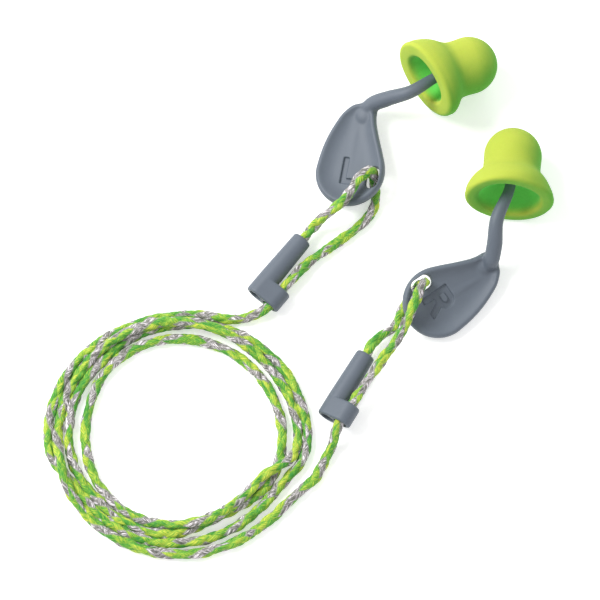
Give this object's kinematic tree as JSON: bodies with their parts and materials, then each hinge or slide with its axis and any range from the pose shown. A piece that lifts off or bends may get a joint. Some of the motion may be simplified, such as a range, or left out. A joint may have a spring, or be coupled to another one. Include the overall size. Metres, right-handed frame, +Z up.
{
  "type": "corded foam ear plugs",
  "caption": "Pair of bell-shaped foam ear plugs on moulded stems with finger grips, joined by a braided cord with sliders, laid out with the cord in a loose coil.",
  "frame": {"origin": "on the table, under the middle of the box round the two plugs (pods, stems and grips), without the cord and its sliders", "axes": "+Z up from the table, +Y from the coil's near edge towards the pods, along the plugs' longest extent, +X to the right"},
  "size_m": [0.1043, 0.1106, 0.018],
  "materials": {
    "foam": "matte",
    "moulding": "satin",
    "braid": "matte",
    "ferrule": "satin"
  },
  "bodies": {
    "cord": {"cord_coil": "braid", "cord_left_lead": "braid", "cord_right_lead": "braid", "left_cord_end": "ferrule", "right_cord_end": "ferrule"},
    "left_grip": {"left_stem_grip": "moulding"},
    "left_pod": {"left_foam_pod": "foam"},
    "left_slider": {"left_slider": "moulding"},
    "right_grip": {"right_stem_grip": "moulding"},
    "right_pod": {"right_foam_pod": "foam"},
    "right_slider": {"right_slider": "moulding"}
  },
  "joints": [
    {"name": "left_grip_swing", "type": "hinge", "parent": "cord", "child": "left_grip", "pos_m": [-0.0125, 0.0021, 0.0045], "axis": [0, 0, 1], "range_deg": [-8, 16]},
    {"name": "right_grip_swing", "type": "hinge", "parent": "cord", "child": "right_grip", "pos_m": [-0.0028, -0.0204, 0.0045], "axis": [0, 0, 1], "range_deg": [-8, 8]},
    {"name": "left_pod_pull", "type": "slide", "parent": "left_grip", "child": "left_pod", "axis": [0.8952, 0.3986, -0.1994], "range_m": [0, 0.007]},
    {"name": "right_pod_pull", "type": "slide", "parent": "right_grip", "child": "right_pod", "axis": [0.0939, 0.9754, -0.1994], "range_m": [0, 0.007]},
    {"name": "left_slider_slide", "type": "slide", "parent": "cord", "child": "left_slider", "axis": [0.6293, 0.7771, 0], "range_m": [0, 0.003]},
    {"name": "right_slider_slide", "type": "slide", "parent": "cord", "child": "right_slider", "axis": [0.515, 0.8572, 0], "range_m": [0, 0.003]}
  ]
}
